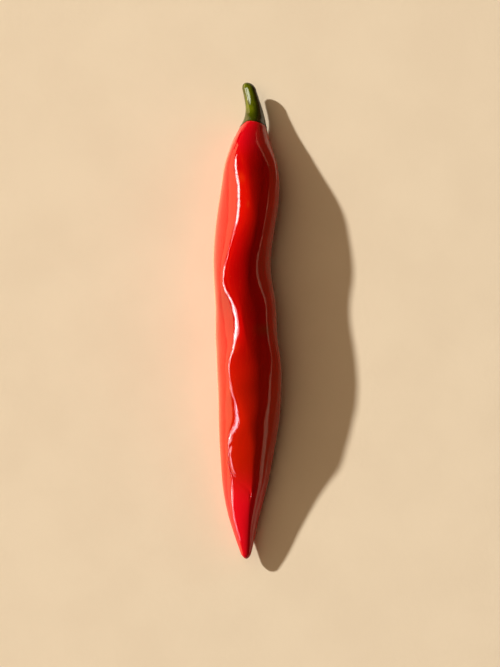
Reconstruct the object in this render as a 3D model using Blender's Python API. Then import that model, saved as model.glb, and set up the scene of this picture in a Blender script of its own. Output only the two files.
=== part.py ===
"""A fresh red chilli pepper lying on its side: the pod, and the green stem whose calyx caps it.

Run it with blender --background --python part.py, or from Blender's text editor.
Units are metres. +Y runs from the pod's tip to the stem, +Z is up, and z = 0 is the surface it lies on.

One outline runs the whole length, from the tip to the end of the stem. Curves along it say where
the middle lies, how wide it is and how its section is shaped. The pod is what lies below the calyx's
edge, with a neck that goes on into the calyx. The stem is what lies above that edge, with a cup in it.
"""

import math

import bmesh
import bpy
import numpy as np
from mathutils import Vector

MM = 0.001

# The outline, in millimetres along the chilli from the tip: (place, value).
LENGTH = 130.0
TIP_ROUND = 1.5
STEM_END_ROUND = 1.9
HALF_WIDTH = (
    (0, 0.95), (5, 2.45), (12, 4.35), (20, 6.2), (28, 7.35), (34, 8.05), (38, 8.35), (45, 8.55),
    (51, 8.75), (58, 8.55), (67, 8.3), (71, 8.2), (78, 7.9), (86, 7.95), (97, 8.2), (103, 7.8),
    (107.5, 7.05), (111.6, 5.7), (115.3, 4.4), (118.1, 3.4), (121, 2.5), (125, 1.95), (130, 1.7),
)
HALF_DEPTH = (
    (0, 0.9), (5, 2.0), (12, 3.4), (20, 4.75), (28, 6.1), (34, 7.1), (38, 7.6), (45, 8.1), (51, 8.25),
    (58, 8.35), (67, 8.6), (71, 8.85), (78, 9.0), (86, 8.5), (97, 8.15), (103, 7.8), (107.5, 7.15),
    (111.6, 6.1), (115.3, 4.5), (118.1, 3.35), (121, 2.4), (125, 1.85), (130, 1.6),
)
SIDEWAYS = (
    (0, -0.6), (6, -0.9), (13, -1.1), (21, -0.8), (31, -0.2), (38, 0.2), (47, 0.3), (55, 0.0),
    (61, -0.55), (69, -0.75), (76, -1.45), (81, -1.7), (88, -1.15), (94, -0.3), (102, 0.6),
    (110, 0.75), (116, 1.1), (121, 1.5), (125, 0.8), (130, -0.55),
)
UNDERSIDE = (
    (0, 2.9), (8, 1.9), (16, 1.0), (26, 0.15), (36, -0.2), (48, -0.25), (60, 0.05), (76, 0.45),
    (90, -0.1), (98, -0.25), (104, 0.1), (112, 1.5), (118, 2.5), (124, 2.9), (130, 3.0),
)
# How far the section's crest leans to the right, and how flat (above 0) or ridged its top is.
LEAN = (
    (0, -0.05), (10.5, -0.16), (16, -0.2), (24, -0.22), (32, -0.22), (38, -0.2), (43, -0.17),
    (49, -0.04), (55, 0.02), (60, 0.1), (66, 0.06), (70.5, -0.01), (75, -0.14), (80, -0.13),
    (84, -0.07), (88, 0.01), (92, 0.07), (98, 0.05), (106, 0.01), (130, 0),
)
CROWN = (
    (0, 0), (11, -0.02), (17, -0.045), (24, -0.055), (30, -0.06), (36, -0.06), (43, -0.025),
    (48, 0.035), (53, 0.05), (58, 0.03), (62, -0.01), (66, 0), (71, 0.015), (78, -0.015), (87, -0.03),
    (97, -0.03), (104, 0.02), (112, 0), (130, 0),
)

# Where the calyx's edge runs, and how much nearer the stem it runs on top.
CALYX_EDGE = 117.05
EDGE_RISE = 1.85
EDGE_RISE_POWER = 2.5
STEM_ANGLES = 5
STEM_ANGLE_DEPTH = 0.03

# The neck inside the calyx and the cup that takes it: (distance past the edge, share of the outline).
CLEARANCE = 0.3
NECK = (
    (-0.9, 1.0), (-0.42, 0.98), (-CLEARANCE, 0.92), (-CLEARANCE, 0.76), (0.5, 0.73), (1.2, 0.62),
    (1.7, 0.38),
)
NECK_END = 1.9
CUP = ((0.0, 0.96), (0.0, 0.85), (0.5, 0.83), (1.35, 0.73), (1.95, 0.46))
CUP_END = 2.25

SIDES = 28
RING_SPACING = 1.9
STEM_RING_SPACING = 0.9
CAP_RINGS = 4

SURFACE_CUTTER = (0.040, 0.160, 0.010)

POD_RED = (0.45, 0.005, 0.003, 1)
STEM_GREEN = (0.10, 0.13, 0.012, 1)


def spline(points):
    """The natural cubic spline through (place, value) points, as a function of place."""
    place, value = np.array(points, float).T
    gap = np.diff(place)
    system = np.diag(np.r_[1, 2 * (gap[:-1] + gap[1:]), 1])
    for i in range(1, len(gap)):
        system[i, i - 1], system[i, i + 1] = gap[i - 1], gap[i]
    bend = np.linalg.solve(system, np.r_[0, 6 * np.diff(np.diff(value) / gap), 0])

    def at(x):
        i = min(max(int(np.searchsorted(place, x)) - 1, 0), len(gap) - 1)
        past, left = x - place[i], place[i + 1] - x
        curved = (bend[i] * left**3 + bend[i + 1] * past**3) / (6 * gap[i])
        start = value[i] / gap[i] - bend[i] * gap[i] / 6
        end = value[i + 1] / gap[i] - bend[i + 1] * gap[i] / 6
        return curved + start * left + end * past

    return at


half_width = spline(HALF_WIDTH)
half_depth = spline(HALF_DEPTH)
sideways = spline(SIDEWAYS)
underside = spline(UNDERSIDE)
lean = spline(LEAN)
crown = spline(CROWN)


def smooth_step(x, start, end):
    t = min(max((x - start) / (end - start), 0.0), 1.0)
    return t * t * (3 - 2 * t)


def end_rounding(along):
    """The share of the section that is left by the rounding of the tip and of the stem's end."""
    nearest = min(along / TIP_ROUND, (LENGTH - along) / STEM_END_ROUND, 1.0)
    return math.sqrt(max(1 - (1 - nearest) ** 2, 0.0))


def section(angle, leaning, crowned, angled):
    """(across, up) of a section of half-width 1, where its skin faces the given angle.

    It comes from a support function, so its width stays as stated while the lean moves its crest
    sideways and the crown flattens its top. Both fade out towards the underside.
    """
    top, top_slope = (1 + math.sin(angle)) / 2, math.cos(angle) / 2
    shape = leaning * math.sin(2 * angle) + crowned * math.sin(3 * angle)
    shape_slope = 2 * leaning * math.cos(2 * angle) + 3 * crowned * math.cos(3 * angle)
    support = 1 + top * shape + angled * math.cos(STEM_ANGLES * angle) / STEM_ANGLES
    slope = top * shape_slope + top_slope * shape - angled * math.sin(STEM_ANGLES * angle)
    across = support * math.cos(angle) - slope * math.sin(angle)
    up = support * math.sin(angle) + slope * math.cos(angle)
    return across, up


def outline(along, angle, share=1.0):
    """The point of the outline at a place along it where its skin faces an angle: 0 is right, 90 degrees up.

    A share under 1 lies that far inside the outline.
    """
    angled = STEM_ANGLE_DEPTH * smooth_step(along, CALYX_EDGE, CALYX_EDGE + 4)
    across, up = section(angle, lean(along), crown(along), angled)
    reach = share * end_rounding(along)
    x = sideways(along) + reach * half_width(along) * across
    z = underside(along) + half_depth(along) * (1 + reach * up)
    return Vector((x, along - LENGTH / 2, z)) * MM


def edge_shift(angle, share=1.0):
    """How far the calyx's edge runs past CALYX_EDGE at an angle, evened out towards the middle."""
    rise = EDGE_RISE * ((1 + math.sin(angle)) / 2) ** EDGE_RISE_POWER
    return share * rise + (1 - share) * EDGE_RISE / 3


def steps(start, end, spacing):
    """Evenly spaced places from start to end, with both."""
    return np.linspace(start, end, max(2, round(abs(end - start) / spacing) + 1))


def rounded_end_places(length):
    """Places through a rounded end, from its pole, close together where it curves most."""
    return [length * (1 - math.cos(math.pi / 2 * i / CAP_RINGS)) for i in range(1, CAP_RINGS)]


def loft(name, rings, material):
    """A closed body made from a sphere: each ring, pole to pole, has a function from angle to place."""
    bm = bmesh.new()
    bmesh.ops.create_uvsphere(bm, u_segments=SIDES, v_segments=len(rings) - 1, radius=1)
    for vertex in bm.verts:
        ring = round(math.acos(max(-1.0, min(1.0, vertex.co.z))) / math.pi * (len(rings) - 1))
        vertex.co = rings[ring](math.atan2(vertex.co.y, vertex.co.x))
    mesh = bpy.data.meshes.new(name)
    bm.to_mesh(mesh)
    bm.free()
    mesh.shade_smooth()
    mesh.materials.append(material)
    return bpy.data.objects.new(name, mesh)


def plain_ring(along, shifted=0.0):
    """A ring of the outline. Towards the calyx its places shift with the calyx's edge."""
    return lambda angle: outline(along + shifted * edge_shift(angle), angle)


def inner_ring(past_edge, share):
    """A ring inside the outline, at a distance past the calyx's edge."""
    return lambda angle: outline(CALYX_EDGE + past_edge + edge_shift(angle, share), angle, share)


def pod_rings():
    first_neck = CALYX_EDGE + NECK[0][0]
    body = [TIP_ROUND, *steps(TIP_ROUND, first_neck, RING_SPACING)[1:-1]]
    rings = [plain_ring(0.0)]
    rings += [plain_ring(place) for place in rounded_end_places(TIP_ROUND)]
    rings += [plain_ring(place, smooth_step(place, 100, first_neck)) for place in body]
    rings += [inner_ring(past_edge, share) for past_edge, share in NECK]
    return [*rings, inner_ring(NECK_END, 0.0)]


def stem_rings():
    fade_out = CALYX_EDGE + 7
    body = steps(LENGTH - STEM_END_ROUND, CALYX_EDGE, STEM_RING_SPACING)
    rings = [plain_ring(LENGTH)]
    rings += [plain_ring(LENGTH - place) for place in rounded_end_places(STEM_END_ROUND)]
    rings += [plain_ring(place, 1 - smooth_step(place, CALYX_EDGE, fade_out)) for place in body]
    rings += [inner_ring(past_edge, share) for past_edge, share in CUP]
    rings += [inner_ring(CUP_END, 0.0)]
    return rings[::-1]


def finish_material(name, colour, roughness):
    material = bpy.data.materials.new(name)
    material.use_nodes = True
    shader = material.node_tree.nodes["Principled BSDF"]
    shader.inputs["Base Color"].default_value = colour
    shader.inputs["Roughness"].default_value = roughness
    shader.inputs["Metallic"].default_value = 0
    material.diffuse_color = colour
    return material


def collection(name):
    made = bpy.data.collections.new(name)
    bpy.context.scene.collection.children.link(made)
    return made


def make_pod(group, cutters):
    """The pod, with the flat spots that it lies on cut level with the surface."""
    pod = loft("pod", pod_rings(), finish_material("pod_red", POD_RED, 0.12))
    group.objects.link(pod)
    bm = bmesh.new()
    bmesh.ops.create_cube(bm, size=1)
    bmesh.ops.scale(bm, vec=SURFACE_CUTTER, verts=bm.verts)
    mesh = bpy.data.meshes.new("surface_cutter")
    bm.to_mesh(mesh)
    bm.free()
    cutter = bpy.data.objects.new("surface_cutter", mesh)
    cutter.location.z = -SURFACE_CUTTER[2] / 2
    cutter.hide_render = True
    cutter.display_type = "WIRE"
    cutters.objects.link(cutter)
    level = pod.modifiers.new("level_underside", "BOOLEAN")
    level.operation = "DIFFERENCE"
    level.object = cutter


def make_stem(group):
    """The stem and calyx, which grew as one green piece: the calyx's cup sits over the pod's neck."""
    group.objects.link(loft("stem", stem_rings(), finish_material("stem_green", STEM_GREEN, 0.2)))


def main():
    for obj in list(bpy.data.objects):
        bpy.data.objects.remove(obj)
    group = collection("chilli_pepper")
    make_pod(group, collection("cutters"))
    make_stem(group)


main()
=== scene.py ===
"""The looks of a fresh red chilli pepper: a glossy, wavy pod with a green stem and calyx, on a pale surface.

Lengths are in millimetres until a mesh is made. +Y runs from the tip to the stem and +Z is up.
"""

import math

import bpy
import numpy as np
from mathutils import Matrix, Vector, noise


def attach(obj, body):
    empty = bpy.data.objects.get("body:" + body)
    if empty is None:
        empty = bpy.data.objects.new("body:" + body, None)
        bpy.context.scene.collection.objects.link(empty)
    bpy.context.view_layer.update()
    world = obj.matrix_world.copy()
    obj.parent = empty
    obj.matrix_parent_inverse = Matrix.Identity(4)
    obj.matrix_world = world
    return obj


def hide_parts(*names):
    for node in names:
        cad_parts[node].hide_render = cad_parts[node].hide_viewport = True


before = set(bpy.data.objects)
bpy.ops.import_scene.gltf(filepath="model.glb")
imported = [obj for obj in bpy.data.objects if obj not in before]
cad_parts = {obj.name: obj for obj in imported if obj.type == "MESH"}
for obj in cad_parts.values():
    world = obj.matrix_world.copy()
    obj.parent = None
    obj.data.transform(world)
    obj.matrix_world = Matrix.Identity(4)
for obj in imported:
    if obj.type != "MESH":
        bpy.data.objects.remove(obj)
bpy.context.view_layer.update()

MM = 0.001
SMALLEST_LENGTH = 1e-9

# The outline, in millimetres along the chilli from the tip: (place, value).
LENGTH = 130.0
TIP_ROUND = 1.5
STEM_END_ROUND = 1.9
HALF_WIDTH = (
    (0, 0.95), (5, 2.45), (12, 4.35), (20, 6.2), (28, 7.35), (34, 8.05), (38, 8.35), (45, 8.55),
    (51, 8.75), (58, 8.55), (67, 8.3), (71, 8.2), (78, 7.9), (86, 7.95), (97, 8.2), (103, 7.8),
    (107.5, 7.05), (111.6, 5.7), (115.3, 4.4), (118.1, 3.4), (121, 2.6), (125, 2.05), (130, 1.8),
)
HALF_DEPTH = (
    (0, 0.9), (5, 2.0), (12, 3.25), (20, 4.4), (28, 5.75), (34, 6.65), (38, 7.25), (45, 8.0), (51, 8.45),
    (58, 8.75), (67, 9.1), (71, 9.25), (78, 9.1), (86, 8.45), (97, 8.3), (103, 8.2), (107.5, 7.75),
    (111.6, 6.65), (115.3, 5.1), (118.1, 3.8), (121, 2.6), (125, 1.8), (130, 1.35),
)
SIDEWAYS = (
    (0, -0.6), (6, -0.9), (13, -1.1), (21, -0.8), (31, -0.2), (38, 0.2), (47, 0.3), (55, 0.0),
    (61, -0.55), (69, -0.75), (76, -1.45), (81, -1.7), (88, -1.15), (94, -0.3), (102, 0.6),
    (110, 0.75), (116, 1.1), (121, 1.65), (125, 1.0), (130, -0.35),
)
UNDERSIDE = (
    (0, 2.9), (8, 1.9), (16, 1.0), (26, 0.15), (36, -0.2), (48, -0.25), (60, 0.05), (76, 0.45),
    (90, -0.1), (98, -0.25), (104, 0.1), (112, 1.65), (118, 2.55), (124, 2.9), (130, 3.0),
)
# How far the section's crest leans to the right, and how flat (above 0) or ridged its top is. These and
# the flats below are finer than in the solids, because the gloss shows every change of slope. The heights
# above go with them, and the stem's end is matched more closely than in the solids too.
LEAN = (
    (0, -0.05), (10.5, -0.04), (16, -0.01), (21, 0), (26, -0.04), (32, -0.06), (37, -0.06),
    (41, -0.09), (45, -0.12), (49, -0.12), (53, -0.1), (57, -0.04), (61, -0.02), (66, -0.07),
    (70.5, -0.13), (75, -0.16), (80, -0.14), (84, -0.08), (88, -0.02), (92, 0.02), (98, -0.02),
    (103, -0.09), (107, -0.14), (112, -0.2), (116, -0.23), (120, -0.15), (126, -0.08), (130, -0.04),
)
CROWN = (
    (0, 0), (8, 0.01), (12, 0.005), (17, -0.012), (22, -0.02), (28, -0.005), (33, 0), (38, -0.03),
    (44, -0.01), (49, -0.005), (54, 0.01), (58, -0.03), (62, -0.043), (66, -0.035), (70, -0.005),
    (75, 0.012), (80, -0.01), (87, -0.03), (92, -0.045), (98, -0.045), (103, -0.015), (107, 0.01),
    (111, 0.02), (118, 0), (130, 0),
)
# Long flats pressed into the skin, and creases where the depth is below 0. Each has the angle that it
# faces, in degrees by place, its spread in degrees, and its depth by place as a share of the half-width.
FLATS = (
    (
        ((0, 30), (65, 30), (130, 30)), 24.0,
        (
            (0, 0.02), (4, 0.1), (8, 0.16), (13, 0.16), (20, 0.12), (33, 0.1), (39, 0.05), (45, 0.01),
            (52, 0), (80, 0), (130, 0),
        ),
    ),
    (
        (
            (0, 36), (44, 36), (52, 46), (60, 60), (68, 60), (74, 50), (80, 44), (88, 50), (100, 54),
            (115, 54), (130, 54),
        ), 18.0,
        (
            (0, 0), (26, 0), (34, 0.01), (40, 0.03), (44, 0.025), (50, 0.025), (56, 0.04), (61, 0.045),
            (68, 0.05), (75, 0.05), (80, 0.03), (86, 0.005), (94, 0.015), (99, 0.045), (104, 0.065),
            (109, 0.065), (113, 0.04), (118, 0), (122, 0), (130, 0),
        ),
    ),
    (
        ((0, 100), (20, 100), (31, 101), (38, 116), (46, 119), (60, 119), (90, 118), (130, 118)), 20.0,
        (
            (0, 0), (8, 0.04), (20, 0.06), (31, 0.06), (37, 0.05), (43, 0.03), (47, -0.018), (53, -0.025),
            (58, -0.018), (62, 0.03), (66, 0.055), (70, 0.05), (73, 0.01), (76, 0), (80, 0), (90, 0),
            (97, 0.03), (103, 0.05), (108, 0.03), (113, 0), (120, 0), (130, 0),
        ),
    ),
    (
        ((0, 20), (65, 20), (130, 20)), 20.0,
        (
            (0, 0), (50, 0), (62, 0), (70, 0.02), (75, 0.035), (82, 0.04), (90, 0.03), (98, 0.02),
            (106, 0), (114, 0), (130, 0),
        ),
    ),
)

# Where the calyx's edge runs, how much nearer the stem it runs on top, and where the rings of the pod and
# of the stem bend to follow it.
CALYX_EDGE = 117.05
EDGE_RISE = 1.85
EDGE_RISE_POWER = 2.5
MIDDLE_RISE = EDGE_RISE / 3
POD_BEND_START = 100.0
STEM_BEND_LENGTH = 7.0

# The stem's blunt angles: how many, how deep, and over how far past the calyx's edge they set in.
STEM_ANGLES = 5
STEM_ANGLE_DEPTH = 0.03
STEM_ANGLE_START = 4.0

# The hidden neck of the pod inside the calyx, and the calyx's lip and cup: (past the edge, share).
NECK = ((-0.25, 0.997), (0.05, 0.985), (0.35, 0.955), (0.8, 0.9), (1.3, 0.8), (1.7, 0.6), (1.9, 0.3))
NECK_END = 2.0
LIP = ((0.1, 1.022), (0.03, 1.018), (0.0, 1.008), (0.03, 0.998), (0.5, 0.97), (1.3, 0.88), (2.0, 0.66))
CUP_END = 2.3

# The calyx's skin past the lip: where it starts, how much wider it is at the lip, as a share, and over what
# length that fades.
CALYX_START = 0.25
LIP_SWELL = 0.022
LIP_SWELL_LENGTH = 1.6

# Creases pressed into the skin: the way each runs, as (place, angle in degrees), its width and its depth.
CREASES = (
    (((26.6, 128), (24.6, 121), (22, 106), (19.8, 93), (17.4, 74)), 0.5, 0.13),
    (((115, 98), (112.8, 108), (110.6, 123)), 0.4, 0.09),
    (((31.5, 112), (29, 121), (27, 130)), 0.6, 0.05),
)

# Low relief of the skin: the height of each noise, its scale by axis and its shift, and the places between
# which it fades in and out again.
POD_RELIEF = (
    (0.10, (0.11, 0.07, 0.11), (3.1, 0.4, 7.7)),
    (0.022, (0.45, 0.22, 0.45), (9.2, 5.3, 1.8)),
)
POD_FADES = ((1, 10), (CALYX_EDGE - 4, CALYX_EDGE - 0.5))
STEM_RELIEF = (
    (0.03, (1.6, 0.1, 1.6), (4.4, 2.2, 0.3)),
    (0.03, (0.7, 0.5, 0.7), (0.7, 8.1, 3.9)),
)
STEM_FADES = ((CALYX_EDGE + 0.6, CALYX_EDGE + 3), (126, 129))

# The pod's colours: two cloudy reds, streaks, flecks, and the reds of its lower half, its tip and its neck.
# The tip's lighter magenta red is partly its own colour and partly a painted pinkish sheen.
DEEP_RED = (0.50, 0.001, 0.001)
CLEAR_RED = (0.57, 0.004, 0.0005)
PALE_STREAK = (0.61, 0.008, 0.001)
DARK_STREAK = (0.39, 0.001, 0.001)
PALE_FLECK = (0.62, 0.035, 0.006)
WARM_RED = (0.62, 0.015, 0.001)
TIP_RED_AND_PAINTED_SHEEN = (0.78, 0.003, 0.011)
NECK_RED = (0.54, 0.001, 0.009)

# Soft spots of other reds: where they are on the straightened skin, their radius and their colour.
ORANGE = (0.60, 0.022, 0.002)
BROWN = (0.36, 0.03, 0.003)
SPOTS = (
    ((-2.7, 103.0, 7.3), 2.2, ORANGE), ((-0.8, 95.8, 8.2), 1.5, ORANGE), ((-3.3, 57.5, 7.9), 2.4, ORANGE),
    ((-3.9, 46.5, 7.7), 2.4, ORANGE), ((1.3, 16.6, 5.3), 1.0, ORANGE), ((5.4, 62.5, 6.4), 3.0, BROWN),
)

# The stem's greens: two in patches, the fibres', the calyx's, and a painted shade down the right side.
DARK_GREEN = (0.032, 0.038, 0.0005)
LIGHT_GREEN = (0.115, 0.13, 0.002)
FIBRE_GREEN = (0.16, 0.18, 0.006)
CALYX_GREEN = (0.034, 0.04, 0.0005)
SHADED_SIDE_GREEN = (0.008, 0.009, 0.0002)

# The surface: its width in metres and its two colours.
FLOOR_SIZE = 6.0
DARK_BEIGE = (0.715, 0.6, 0.43)
LIGHT_BEIGE = (0.74, 0.625, 0.45)

# Mesh detail.
POD_SIDES = 200
POD_RINGS = 440
STEM_SIDES = 120
STEM_RINGS = 110
CAP_RINGS = 9

# The key: its azimuth and elevation in degrees, its strength, its spread in degrees and its colour. How far
# off it stands, in metres, changes nothing.
KEY_FROM = (149, 27.4)
KEY_ENERGY = 5.2
KEY_SPREAD = 2.2
KEY_COLOUR = (1.0, 0.99, 0.98)
KEY_AWAY = 2.0

# Soft lights that only the gloss mirrors: the azimuth and elevation of each in degrees, its width and height
# in metres, and its radiance. They all stand equally far off, in metres.
MIRRORED_AWAY = 1.0
MIRRORED = {
    "strip": ((163.5, 35), (0.34, 0.10), (24.0, 23.0, 22.0)),
    "thin_strip": ((146, 34), (0.24, 0.04), (16.0, 11.0, 11.0)),
    "long_strip": ((193.3, 35), (0.51, 0.10), (24.0, 21.0, 20.0)),
    "tip_strip": ((224, 35), (0.23, 0.06), (18.0, 14.0, 16.0)),
    "window": ((199, 38), (0.50, 0.18), (10.0, 7.5, 7.8)),
    "card": ((175, 14.5), (2.4, 0.56), (3.2, 2.1, 1.1)),
    "far_strip": ((5, 1), (2.4, 0.02), (2.4, 1.0, 0.55)),
}
STEM_WINDOW = ((130, 57), (0.34, 0.36), (11.0, 11.0, 9.5))

# The low card: its size and its place in metres, and its radiance.
LOW_CARD_SIZE = (0.2, 0.24)
LOW_CARD_PLACE = (-0.108, 0, 0.0002)
LOW_CARD_RADIANCE = (1.1, 0.616, 0.275)

# The fill, and more of it for the surface alone: (distance and width in metres, radiance).
FILL_FROM = (155, 61)
FILL = (1.3, 1.6, (0.75, 0.6, 0.45))
FLOOR_FILL = (1.6, 1.97, (0.45, 0.28, 0.15))
ROOM_COLOUR = (0.02, 0.012, 0.007)

# The flag on the right, a dark sheet of painted shade that only the gloss mirrors: how far it stands from
# the middle, its height by place, its colour and its glow, which is a painted reflection.
FLAG_ACROSS = 24.0
FLAG_TOP = (
    (-30, 1.5), (8, 3), (17, 4), (30, 7), (42, 10.5), (50, 13.2), (98, 13.6), (107, 13.4), (113, 12.7),
    (122, 12.2), (135, 11.5), (150, 10), (175, 8),
)
FLAG_COLOUR = (0.02, 0.01, 0.005)
FLAG_GLOW = (1.0, 0.33, 0.11)
FLAG_GLOW_STRENGTH = 0.2

# The camera looks straight down, and this frame of the photograph's shape fits round the chilli.
FRAME_HEIGHT = 181.8
FRAME_CENTRE = (0.41, -3.46)
VIEW_LEVEL = 4.6
LENS = 85.0
SENSOR = 36.0
CLIP_START = 10.0


def camera():
    """The camera, straight above with the stem's end up in the picture."""
    data = bpy.data.cameras.new("camera")
    data.lens = LENS
    data.sensor_fit = "VERTICAL"
    data.sensor_height = SENSOR
    data.clip_start = CLIP_START * MM
    made = bpy.data.objects.new("camera", data)
    height = VIEW_LEVEL + FRAME_HEIGHT * LENS / SENSOR
    made.location = Vector((*FRAME_CENTRE, height)) * MM
    bpy.context.scene.collection.objects.link(made)
    bpy.context.scene.camera = made


def spline(points):
    """The natural cubic spline through (place, value) points, as a function of an array of places."""
    place, value = np.array(points, float).T
    gap = np.diff(place)
    system = np.diag(np.r_[1, 2 * (gap[:-1] + gap[1:]), 1])
    for i in range(1, len(gap)):
        system[i, i - 1], system[i, i + 1] = gap[i - 1], gap[i]
    bend = np.linalg.solve(system, np.r_[0, 6 * np.diff(np.diff(value) / gap), 0])

    def at(x):
        i = np.clip(np.searchsorted(place, x) - 1, 0, len(gap) - 1)
        past, left = x - place[i], place[i + 1] - x
        curved = (bend[i] * left**3 + bend[i + 1] * past**3) / (6 * gap[i])
        start = value[i] / gap[i] - bend[i] * gap[i] / 6
        end = value[i + 1] / gap[i] - bend[i + 1] * gap[i] / 6
        return curved + start * left + end * past

    return at


half_width = spline(HALF_WIDTH)
half_depth = spline(HALF_DEPTH)
sideways = spline(SIDEWAYS)
underside = spline(UNDERSIDE)
lean = spline(LEAN)
crown = spline(CROWN)
flats = [(spline(faced), math.radians(spread), spline(depth)) for faced, spread, depth in FLATS]


def smooth_step(x, start, end):
    """0 up to the start, 1 from the end on, and a smooth rise between them."""
    t = np.clip((x - start) / (end - start), 0, 1)
    return t * t * (3 - 2 * t)


def end_rounding(along):
    """The share of the section that is left by the rounding of the tip and of the stem's end."""
    nearest = np.minimum(np.minimum(along / TIP_ROUND, (LENGTH - along) / STEM_END_ROUND), 1)
    return np.sqrt(np.clip(1 - (1 - nearest) ** 2, 0, 1))


def flattened(along, angle):
    """How much the flats take off a section's support at each angle, and how fast that changes."""
    taken, slope = 0, 0
    for faced, spread, depth in flats:
        off = (angle - np.radians(faced(along)) + math.pi) % (2 * math.pi) - math.pi
        bump = depth(along) * np.exp(-((off / spread) ** 2))
        taken = taken + bump
        slope = slope - 2 * bump * off / spread**2
    return taken, slope


def section(along, angle):
    """(across, up) of the section of half-width 1 at each place, where its skin faces the given angle."""
    leaning, crowned = lean(along), crown(along)
    angled = STEM_ANGLE_DEPTH * smooth_step(along, CALYX_EDGE, CALYX_EDGE + STEM_ANGLE_START)
    taken, taken_slope = flattened(along, angle)
    top, top_slope = (1 + np.sin(angle)) / 2, np.cos(angle) / 2
    shape = leaning * np.sin(2 * angle) + crowned * np.sin(3 * angle)
    shape_slope = 2 * leaning * np.cos(2 * angle) + 3 * crowned * np.cos(3 * angle)
    support = 1 + top * shape - taken + angled * np.cos(STEM_ANGLES * angle) / STEM_ANGLES
    slope = top * shape_slope + top_slope * shape - taken_slope - angled * np.sin(STEM_ANGLES * angle)
    across = support * np.cos(angle) - slope * np.sin(angle)
    up = support * np.sin(angle) + slope * np.cos(angle)
    return across, up


def outline(along, angle, share):
    """Points of the outline at places along it, where its skin faces the given angles."""
    across, up = section(along, angle)
    reach = share * end_rounding(along)
    return np.stack((
        sideways(along) + reach * half_width(along) * across,
        along - LENGTH / 2,
        underside(along) + half_depth(along) * (1 + reach * up),
    ), axis=-1)


def edge_shift(angle, share=1.0):
    """How far the calyx's edge runs past CALYX_EDGE at an angle, evened out towards the middle."""
    rise = EDGE_RISE * ((1 + np.sin(angle)) / 2) ** EDGE_RISE_POWER
    return share * rise + (1 - share) * MIDDLE_RISE


def cap_places(length):
    """Places through a rounded end, from its pole, close together where it curves most."""
    return length * (1 - np.cos(math.pi / 2 * np.arange(1, CAP_RINGS) / CAP_RINGS))


def grid(angle, rows):
    """(along, angle, share) of every point, from (places at each angle, share) of every ring."""
    along = np.array([np.broadcast_to(places, angle.shape) for places, _ in rows])
    share = np.array([np.full(angle.shape, value) for _, value in rows])
    return along, np.broadcast_to(angle, along.shape), share


def pod_grid():
    """The points of the pod's rings, from the tip to the neck inside the calyx."""
    angle = np.linspace(0, 2 * math.pi, POD_SIDES, endpoint=False)
    last = CALYX_EDGE + NECK[0][0]
    rows = [(place, 1.0) for place in cap_places(TIP_ROUND)]
    for place in np.linspace(TIP_ROUND, last, POD_RINGS)[:-1]:
        rows.append((place + smooth_step(place, POD_BEND_START, last) * edge_shift(angle), 1.0))
    rows += [(CALYX_EDGE + past + edge_shift(angle, share), share) for past, share in NECK]
    return grid(angle, rows)


def stem_grid():
    """The points of the stem's rings, from inside the calyx's cup to the stem's end."""
    angle = np.linspace(0, 2 * math.pi, STEM_SIDES, endpoint=False)
    rows = [(CALYX_EDGE + past + edge_shift(angle, min(share, 1)), share) for past, share in LIP[::-1]]
    for place in np.linspace(CALYX_EDGE + CALYX_START, LENGTH - STEM_END_ROUND, STEM_RINGS):
        fade = 1 - smooth_step(place, CALYX_EDGE, CALYX_EDGE + STEM_BEND_LENGTH)
        swell = LIP_SWELL * (1 - smooth_step(place, CALYX_EDGE, CALYX_EDGE + LIP_SWELL_LENGTH))
        rows.append((place + fade * edge_shift(angle), 1 + swell))
    rows += [(LENGTH - place, 1.0) for place in cap_places(STEM_END_ROUND)[::-1]]
    return grid(angle, rows)


def facing(points):
    """Unit normals of a grid of points, rings by sides, pointing out."""
    around = np.roll(points, -1, axis=1) - np.roll(points, 1, axis=1)
    on = np.gradient(points, axis=0)
    normal = np.cross(around, on)
    length = np.linalg.norm(normal, axis=-1, keepdims=True)
    return -normal / np.maximum(length, SMALLEST_LENGTH)


def closed_mesh(name, points, first_pole, last_pole):
    """A closed mesh of rings of points between two poles."""
    rings, sides = points.shape[:2]
    corner = np.arange(rings * sides).reshape(rings, sides)
    beside = np.roll(corner, -1, axis=1)
    quads = np.stack((corner[:-1], corner[1:], beside[1:], beside[:-1]), axis=-1).reshape(-1, 4)
    first, last = rings * sides, rings * sides + 1
    faces = quads.tolist()
    faces += [(first, a, b) for a, b in zip(corner[0].tolist(), beside[0].tolist())]
    faces += [(last, b, a) for a, b in zip(corner[-1].tolist(), beside[-1].tolist())]
    vertices = np.vstack((points.reshape(-1, 3), first_pole, last_pole)) * MM
    mesh = bpy.data.meshes.new(name)
    mesh.from_pydata(vertices.tolist(), [], faces)
    mesh.shade_smooth()
    mesh.update()
    return mesh


def noise_at(places):
    """Smooth noise, about -1 to 1, at each of an array of places."""
    values = [noise.noise(Vector(place)) for place in places.reshape(-1, 3)]
    return np.array(values).reshape(places.shape[:-1])


def straightened(along, angle):
    """The skin laid on a straight pod, so that streaks and wrinkles follow the real one's bends."""
    radius = half_width(along)
    return np.stack((radius * np.cos(angle), along, radius * np.sin(angle)), axis=-1)


def store_skin(mesh, coordinates, poles):
    """Keeps each point's place on the straightened skin, in millimetres, for the materials."""
    attribute = mesh.attributes.new("skin", "FLOAT_VECTOR", "POINT")
    values = np.vstack((coordinates.reshape(-1, 3), poles)).astype(np.float32)
    attribute.data.foreach_set("vector", values.ravel())


def crease(along, angle, way, width, depth):
    """How far one crease dips at each point of the skin, measured on the skin laid flat."""
    spot = np.stack((along, half_width(along) * angle), axis=-1)
    place, faced = np.array(way, float).T
    turns = np.stack((place, half_width(place) * np.radians(faced)), axis=-1)
    nearest = np.full(along.shape, np.inf)
    for start, end in zip(turns[:-1], turns[1:]):
        step = end - start
        share = np.clip(((spot - start) @ step) / (step @ step), 0, 1)
        nearest = np.minimum(nearest, np.linalg.norm(spot - start - share[..., None] * step, axis=-1))
    return depth * np.exp(-((nearest / width) ** 2))


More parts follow.
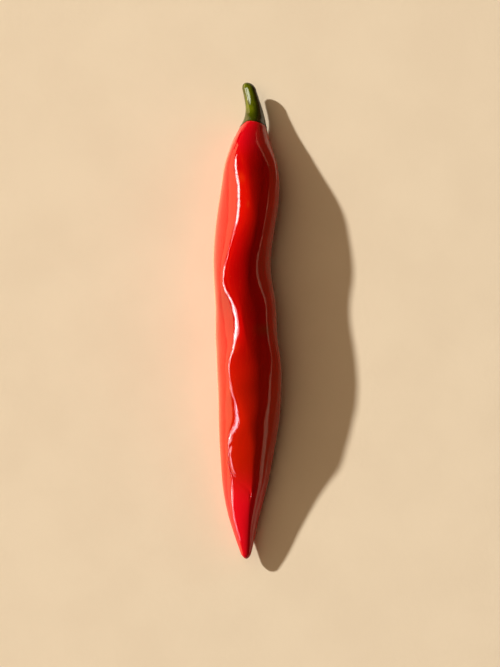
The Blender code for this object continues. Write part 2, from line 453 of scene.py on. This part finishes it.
def low_relief(along, angle, waves, fades):
    """Low noise over a piece's skin, which fades out at both of its ends."""
    skin = straightened(along, angle)
    height = sum(high * noise_at(skin * scale + shift) for high, scale, shift in waves)
    fade_in, fade_out = fades
    return height * smooth_step(along, *fade_in) * (1 - smooth_step(along, *fade_out))


def pod_relief(along, angle):
    """How far the pod's skin stands out of the outline: low waves, and the creases in it."""
    creases = sum(crease(along, angle, *values) for values in CREASES)
    return low_relief(along, angle, POD_RELIEF, POD_FADES) - creases


def stem_relief(along, angle):
    """How far the stem's skin stands out of the outline: fine ribs along it, and shallow bumps."""
    return low_relief(along, angle, STEM_RELIEF, STEM_FADES)


def make_piece(name, places, relief, poles, material):
    """A piece of the chilli from its grid, its relief and the places of its two poles.

    Where its outline dips below the surface that it lies on, its skin is flat.
    """
    along, angle, share = places
    points = outline(along, angle, share)
    points += facing(points) * relief(along, angle)[..., None]
    points[..., 2] = np.maximum(points[..., 2], 0)
    ends = [outline(np.array([pole]), np.array([0.0]), 0.0)[0] for pole in poles]
    mesh = closed_mesh(name, points, *ends)
    store_skin(mesh, straightened(along, angle), [(0, pole, 0) for pole in poles])
    mesh.materials.append(material)
    piece = bpy.data.objects.new(name, mesh)
    bpy.context.scene.collection.objects.link(piece)
    return piece


class Shading:
    """A material's nodes, added one after another."""

    def __init__(self, name):
        self.material = bpy.data.materials.new(name)
        self.material.use_nodes = True
        self.tree = self.material.node_tree
        self.shader = self.tree.nodes["Principled BSDF"]

    def connect(self, socket, value):
        """Gives a socket another node's output or a plain value."""
        if isinstance(value, bpy.types.NodeSocket):
            self.tree.links.new(value, socket)
        else:
            socket.default_value = value

    def node(self, kind, inputs=(), **settings):
        """A new node: its inputs by name or number, and its settings."""
        made = self.tree.nodes.new(kind)
        for setting, value in settings.items():
            setattr(made, setting, value)
        for name, value in dict(inputs).items():
            self.connect(made.inputs[name], value)
        return made

    def skin(self):
        """The place on the straightened skin, in millimetres."""
        return self.node("ShaderNodeAttribute", attribute_name="skin").outputs["Vector"]

    def noise(self, vector, scale, detail, roughness=0.5):
        """Noise from 0 to 1, at the vector scaled by axis."""
        scaled = self.node("ShaderNodeVectorMath", {0: vector, 1: scale}, operation="MULTIPLY")
        inputs = {"Vector": scaled.outputs[0], "Scale": 1.0, "Detail": detail, "Roughness": roughness}
        return self.node("ShaderNodeTexNoise", inputs).outputs["Fac"]

    def between(self, value, start, full, most=1.0):
        """A smooth rise from 0, where the value is at the start, to the most, where it is full."""
        inputs = {"Value": value, "From Min": start, "From Max": full, "To Min": 0.0, "To Max": most}
        made = self.node("ShaderNodeMapRange", inputs, interpolation_type="SMOOTHSTEP")
        return made.outputs["Result"]

    def mix(self, share, first, second):
        """The first colour, with the second over it by the share."""
        inputs = {0: share, 6: first, 7: second}
        return self.node("ShaderNodeMix", inputs, data_type="RGBA").outputs[2]

    def tinted(self, base, tint, value, start, full, most):
        """A base colour with a tint over it where the value nears full, by at most the given share."""
        return self.mix(self.between(value, start, full, most), base, colour(tint))

    def distance(self, vector, point):
        """How far the vector is from a point."""
        made = self.node("ShaderNodeVectorMath", {0: vector, 1: point}, operation="DISTANCE")
        return made.outputs["Value"]

    def bump(self, height, depth, strength, below=None):
        """The normal bent by a height, over the normal below where one is given. The depth is in metres."""
        inputs = {"Height": height, "Distance": depth, "Strength": strength}
        if below is not None:
            inputs["Normal"] = below
        return self.node("ShaderNodeBump", inputs).outputs["Normal"]

    def set(self, **inputs):
        """The shader's own inputs, with _ for each space in their names."""
        for name, value in inputs.items():
            self.connect(self.shader.inputs[name.replace("_", " ")], value)


def colour(values):
    """A solid colour from its red, green and blue."""
    return (*values, 1.0)


def pod_material():
    """Glossy red skin: cloudy reds, faint streaks along the pod, fine pale flecks and shallow wrinkles."""
    s = Shading("pod_skin")
    skin = s.skin()
    clouds = s.noise(skin, (0.09, 0.05, 0.09), detail=4)
    streaks = s.noise(skin, (0.9, 0.05, 0.9), detail=3)
    flecks = s.noise(skin, (2.6, 1.6, 2.6), detail=1)
    place = s.node("ShaderNodeSeparateXYZ", {0: skin}).outputs["Y"]
    red = s.mix(s.between(clouds, start=0.35, full=0.68), colour(DEEP_RED), colour(CLEAR_RED))
    red = s.tinted(red, PALE_STREAK, streaks, start=0.5, full=0.75, most=0.5)
    red = s.tinted(red, DARK_STREAK, streaks, start=0.45, full=0.25, most=0.4)
    red = s.tinted(red, WARM_RED, place, start=66, full=44, most=0.6)
    red = s.tinted(red, PALE_FLECK, flecks, start=0.68, full=0.78, most=0.35)
    # The tip turns a lighter magenta red: partly its own colour, partly a painted pinkish sheen.
    red = s.tinted(red, TIP_RED_AND_PAINTED_SHEEN, place, start=28, full=14, most=0.9)
    red = s.tinted(red, NECK_RED, place, start=107, full=114, most=0.6)
    for spot, radius, tint in SPOTS:
        red = s.tinted(red, tint, s.distance(skin, spot), start=radius, full=0, most=0.6)
    s.set(Base_Color=red, Roughness=0.5, Specular_IOR_Level=0.0)
    wrinkles = s.noise(skin, (1.3, 0.7, 1.3), detail=4, roughness=0.55)
    grain = s.noise(skin, (2.0, 6.0, 2.0), detail=2)
    wrinkled = s.bump(wrinkles, depth=0.04 * MM, strength=0.5)
    s.set(Normal=wrinkled, Coat_Weight=1.0, Coat_Roughness=0.045, Coat_IOR=1.5)
    s.set(Coat_Normal=s.bump(grain, depth=0.01 * MM, strength=0.5, below=wrinkled))
    s.set(Subsurface_Weight=0.08, Subsurface_Radius=(1.0, 0.15, 0.08), Subsurface_Scale=0.8 * MM)
    s.set(Sheen_Weight=0.08, Sheen_Roughness=0.3, Sheen_Tint=colour((1.0, 0.6, 0.4)))
    return s.material


def stem_material():
    """Smooth green stem: light and dark green in drawn-out patches, with fine fibres along it, and painted
    shade down its right side.
    """
    s = Shading("stem_green")
    skin = s.skin()
    patches = s.noise(skin, (0.55, 0.28, 0.55), detail=4, roughness=0.6)
    fibres = s.noise(skin, (5.0, 0.35, 5.0), detail=3)
    parts = s.node("ShaderNodeSeparateXYZ", {0: skin}).outputs
    green = s.mix(s.between(patches, start=0.35, full=0.62), colour(DARK_GREEN), colour(LIGHT_GREEN))
    green = s.tinted(green, FIBRE_GREEN, fibres, start=0.4, full=0.7, most=0.4)
    green = s.tinted(green, CALYX_GREEN, parts["Y"], start=123.5, full=120.5, most=0.85)
    # Painted shade: the stem's green darkens towards its right side, away from the key.
    green = s.tinted(green, SHADED_SIDE_GREEN, parts["X"], start=0.1, full=1.7, most=0.85)
    s.set(Base_Color=green, Roughness=0.5, Specular_IOR_Level=0.0)
    s.set(Normal=s.bump(fibres, depth=0.04 * MM, strength=0.5))
    s.set(Coat_Weight=1.0, Coat_Roughness=0.07, Coat_IOR=1.5)
    s.set(Subsurface_Weight=0.05, Subsurface_Radius=(0.4, 0.6, 0.1), Subsurface_Scale=1.0 * MM)
    return s.material


def floor_material():
    """Pale warm paper with a barely visible mottle and tooth."""
    s = Shading("floor_paper")
    place = s.node("ShaderNodeTexCoord").outputs["Object"]
    mottle = s.noise(place, (45, 45, 45), detail=4)
    tooth = s.noise(place, (700, 700, 700), detail=3)
    beige = s.mix(s.between(mottle, start=0.3, full=0.7), colour(DARK_BEIGE), colour(LIGHT_BEIGE))
    s.set(Base_Color=beige, Roughness=0.9, Specular_IOR_Level=0.0)
    s.set(Normal=s.bump(tooth, depth=0.1 * MM, strength=0.35))
    return s.material


def make_floor():
    """The surface, wide enough for every view."""
    bpy.ops.mesh.primitive_plane_add(size=FLOOR_SIZE)
    floor = bpy.context.object
    floor.name = "floor"
    floor.data.materials.append(floor_material())


def direction(azimuth, elevation):
    """The unit vector to a place in the sky: azimuth 0 is +X and 90 is +Y, in degrees."""
    a, e = math.radians(azimuth), math.radians(elevation)
    return Vector((math.cos(e) * math.cos(a), math.cos(e) * math.sin(a), math.sin(e)))


def aimed(name, data, towards, distance):
    """A light in the given direction from the chilli's middle, facing it, and not seen by the camera."""
    light = bpy.data.objects.new(name, data)
    light.location = towards * distance
    light.rotation_euler = towards.to_track_quat("Z", "Y").to_euler()
    light.visible_camera = False
    bpy.context.scene.collection.objects.link(light)
    return light


def panel(name, size, radiance):
    """A rectangular soft light's data: its radiance is red, green and blue."""
    width, height = size
    brightest = max(radiance)
    data = bpy.data.lights.new(name, "AREA")
    data.shape = "RECTANGLE"
    data.size = width
    data.size_y = height
    data.color = [value / brightest for value in radiance]
    data.energy = math.pi * width * height * brightest
    return data


def key_light():
    """The low light from the left that draws the shadow. The gloss doesn't mirror it."""
    data = bpy.data.lights.new("key", "SUN")
    data.energy = KEY_ENERGY
    data.angle = math.radians(KEY_SPREAD)
    data.color = KEY_COLOUR
    aimed("key", data, direction(*KEY_FROM), KEY_AWAY).visible_glossy = False


def mirrored_light(name, from_where, size, radiance):
    """A soft light that only the gloss mirrors."""
    light = aimed(name, panel(name, size, radiance), direction(*from_where), MIRRORED_AWAY)
    light.visible_diffuse = False
    return light


def fill_light(name, distance, width, radiance):
    """A wide dim light from above, which the gloss doesn't mirror."""
    light = aimed(name, panel(name, (width, width), radiance), direction(*FILL_FROM), distance)
    light.visible_glossy = False
    return light


def low_card():
    """A faint glow just over the surface on the left, which evens what the chilli's left flank mirrors."""
    glow = bpy.data.objects.new("low_card", panel("low_card", LOW_CARD_SIZE, LOW_CARD_RADIANCE))
    glow.location = LOW_CARD_PLACE
    glow.rotation_euler = (math.pi, 0, 0)
    glow.visible_camera = False
    glow.visible_diffuse = False
    bpy.context.scene.collection.objects.link(glow)


def flag():
    """A dark brown card on the right that only the gloss mirrors: painted shade that keeps the bright
    surface there out of the shaded flank, with a faint brown glow as a painted reflection.

    It isn't seen by the camera and casts no shadow. Its top follows the height of the chilli's flank.
    """
    corners = []
    for place, top in FLAG_TOP:
        across, along = FLAG_ACROSS * MM, (place - LENGTH / 2) * MM
        corners += [(across, along, 0), (across, along, top * MM)]
    faces = [(i, i + 2, i + 3, i + 1) for i in range(0, len(corners) - 2, 2)]
    mesh = bpy.data.meshes.new("flag")
    mesh.from_pydata(corners, [], faces)
    s = Shading("flag_brown")
    s.set(Base_Color=colour(FLAG_COLOUR), Roughness=1.0, Specular_IOR_Level=0.0)
    s.set(Emission_Color=colour(FLAG_GLOW), Emission_Strength=FLAG_GLOW_STRENGTH)
    mesh.materials.append(s.material)
    made = bpy.data.objects.new("flag", mesh)
    made.visible_camera = False
    made.visible_diffuse = False
    made.visible_shadow = False
    bpy.context.scene.collection.objects.link(made)


def lights():
    """A low key from the left, strips over a wide warm card beside it, and a dim fill from above.

    The strips and the cards are what the glossy skin mirrors. The key and the fill only light it.
    """
    key_light()
    for name, values in MIRRORED.items():
        mirrored_light(name, *values)
    low_card()
    fill_light("fill", *FILL)


def room():
    """The dark warm room around, and plain colours in the picture."""
    world = bpy.data.worlds.new("world")
    world.use_nodes = True
    world.node_tree.nodes["Background"].inputs["Color"].default_value = colour(ROOM_COLOUR)
    bpy.context.scene.world = world
    bpy.context.scene.view_settings.view_transform = "Standard"


def link_light(light, pieces, state):
    """Lets a light fall on some objects alone, or on all but them: INCLUDE or EXCLUDE."""
    receivers = bpy.data.collections.new(light.name + "_receivers")
    for piece in pieces:
        receivers.objects.link(piece)
    for member in receivers.collection_objects:
        member.light_linking.link_state = state
    light.light_linking.receiver_collection = receivers


def stem_light(stem):
    """A small window high on the left, which only the stem mirrors."""
    link_light(mirrored_light("stem_window", *STEM_WINDOW), (stem,), "INCLUDE")


def floor_light(pod, stem):
    """More of the fill for the surface alone, so that the shadow stays soft and the pod's core dark."""
    link_light(fill_light("floor_fill", *FLOOR_FILL), (pod, stem), "EXCLUDE")


camera()
make_floor()
lights()
room()
flag()

pod = make_piece("pod_skin", pod_grid(), pod_relief, (0.0, CALYX_EDGE + NECK_END), pod_material())
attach(pod, "root")
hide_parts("pod")

stem = make_piece(
    "stem_skin", stem_grid(), stem_relief, (CALYX_EDGE + CUP_END, LENGTH), stem_material()
)
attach(stem, "root")
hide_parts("stem")

stem_light(stem)
floor_light(pod, stem)
